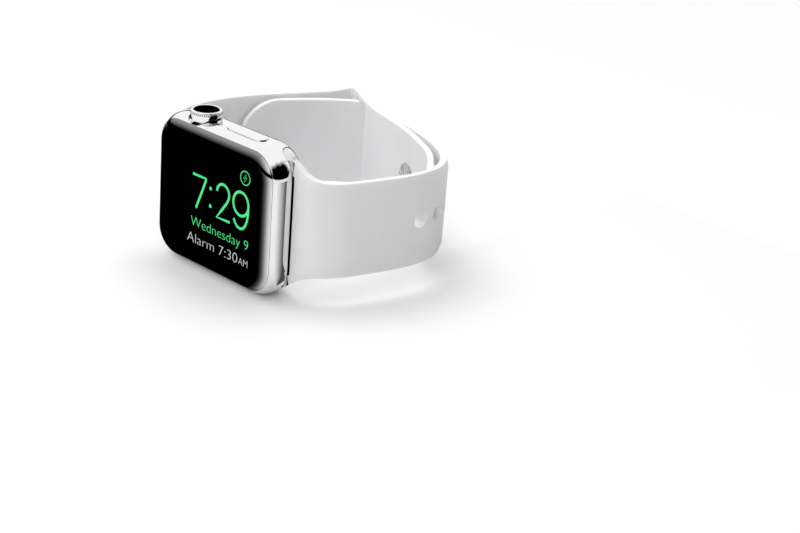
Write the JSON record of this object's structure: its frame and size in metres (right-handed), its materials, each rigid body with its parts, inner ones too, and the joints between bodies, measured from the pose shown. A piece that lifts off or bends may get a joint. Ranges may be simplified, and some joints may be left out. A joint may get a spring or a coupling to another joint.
{
  "type": "smartwatch",
  "caption": "Rectangular smartwatch with a polished steel case, knurled crown, side button and a closed pin-and-tuck elastomer strap.",
  "frame": {"origin": "on the flat of the case's side away from the crown, level with the middle of the case, where the watch stands", "axes": "+Z from the standing side to the crown side, -Y out of the display, +X along the case towards the strap's long half"},
  "size_m": [0.069, 0.0667, 0.0379],
  "materials": {
    "polished_steel": "mirror polished stainless steel",
    "display_glass": "polished glass, black from the panel under it",
    "display_panel": "black display panel, lit only where it shows figures",
    "strap_elastomer": "smooth satin white elastomer",
    "stud_steel": "turned steel with a radial grain",
    "crown_cap_black": "gloss black",
    "back_ceramic": "gloss black ceramic",
    "sensor_lens": "polished tinted lens",
    "plain_steel": "plain",
    "mesh_steel": "fine dark mesh",
    "module_shield": "plain metal can",
    "tungsten": "plain",
    "magnet": "nickel plated",
    "brass": "plain",
    "copper": "wound copper",
    "ferrite": "matte ferrite sheet",
    "board": "solder mask",
    "diode": "clear",
    "battery_pouch": "foil pouch",
    "dark_plastic": "moulded",
    "pale_plastic": "moulded",
    "flex_film": "polyimide film",
    "seal_rubber": "matte"
  },
  "bodies": {
    "root": {"case": "polished_steel", "cover_glass": "display_glass", "display_gasket": "seal_rubber", "display_panel": "display_panel", "display_plate": "plain_steel", "back_cover": "back_ceramic", "back_seal": "seal_rubber", "sensor_lenses": "sensor_lens", "sensor_board": "board", "sensor_diodes": "diode", "charging_coil": "copper", "coil_shield": "ferrite", "alignment_magnet": "magnet", "battery": "battery_pouch", "main_board": "board", "system_module": "module_shield", "board_screws": "plain_steel", "haptic_housing": "module_shield", "haptic_springs": "plain_steel", "speaker_module": "dark_plastic", "speaker_mesh": "mesh_steel", "microphone": "brass", "antenna_frame": "pale_plastic", "crown_bushing": "plain_steel", "crown_seals": "seal_rubber", "crown_encoder": "dark_plastic", "crown_switch": "plain_steel", "side_button_seals": "seal_rubber", "side_button_bracket": "plain_steel", "side_button_switch": "plain_steel", "port_cover": "plain_steel", "display_flex": "flex_film", "sensor_flex": "flex_film", "button_flex": "flex_film"},
    "crown_push": {"crown_plunger": "pale_plastic"},
    "crown": {"crown_wheel": "polished_steel", "crown_cap": "crown_cap_black", "crown_shaft": "plain_steel"},
    "side_button": {"side_button": "polished_steel"},
    "release_short": {"release_button_short": "polished_steel"},
    "release_long": {"release_button_long": "polished_steel"},
    "haptic_mass": {"haptic_mass": "tungsten"},
    "strap": {"strap_short_half": "strap_elastomer", "strap_long_half": "strap_elastomer", "closure_stud": "stud_steel", "stud_base": "stud_steel", "latch_spring_short": "plain_steel", "latch_spring_long": "plain_steel"},
    "latch_short": {"lug_latch_short": "plain_steel"},
    "latch_long": {"lug_latch_long": "plain_steel"}
  },
  "joints": [
    {"name": "crown_press", "type": "slide", "parent": "root", "child": "crown_push", "axis": [0, 0, -1], "range_m": [0, 0.0003], "stiffness_N_per_m": 900},
    {"name": "crown_spin", "type": "hinge", "parent": "crown_push", "child": "crown", "pos_m": [-0.0084, 0, 0.0368], "axis": [0, 0, 1], "continuous": true},
    {"name": "side_button_press", "type": "slide", "parent": "root", "child": "side_button", "axis": [0, 0, -1], "range_m": [0, 0.0003], "stiffness_N_per_m": 900},
    {"name": "strap_slide", "type": "slide", "parent": "root", "child": "strap", "axis": [0, 0, 1], "range_m": [0, 0.038]},
    {"name": "release_short_press", "type": "slide", "parent": "root", "child": "release_short", "axis": [0, -1, 0], "range_m": [0, 0.0003], "stiffness_N_per_m": 300},
    {"name": "release_long_press", "type": "slide", "parent": "root", "child": "release_long", "axis": [0, -1, 0], "range_m": [0, 0.0003], "stiffness_N_per_m": 300},
    {"name": "latch_short_drop", "type": "slide", "parent": "strap", "child": "latch_short", "axis": [0, -1, 0], "range_m": [0, 0.0003], "stiffness_N_per_m": 300, "deforming": ["latch_spring_short"]},
    {"name": "latch_long_drop", "type": "slide", "parent": "strap", "child": "latch_long", "axis": [0, -1, 0], "range_m": [0, 0.0003], "stiffness_N_per_m": 300, "deforming": ["latch_spring_long"]},
    {"name": "haptic_shift", "type": "slide", "parent": "root", "child": "haptic_mass", "axis": [0, 0, 1], "range_m": [-0.00025, 0.00025], "stiffness_N_per_m": 600}
  ],
  "couplings": [
    {"joint": "latch_short_drop", "follows": "release_short_press", "ratio": 1},
    {"joint": "latch_long_drop", "follows": "release_long_press", "ratio": 1}
  ]
}
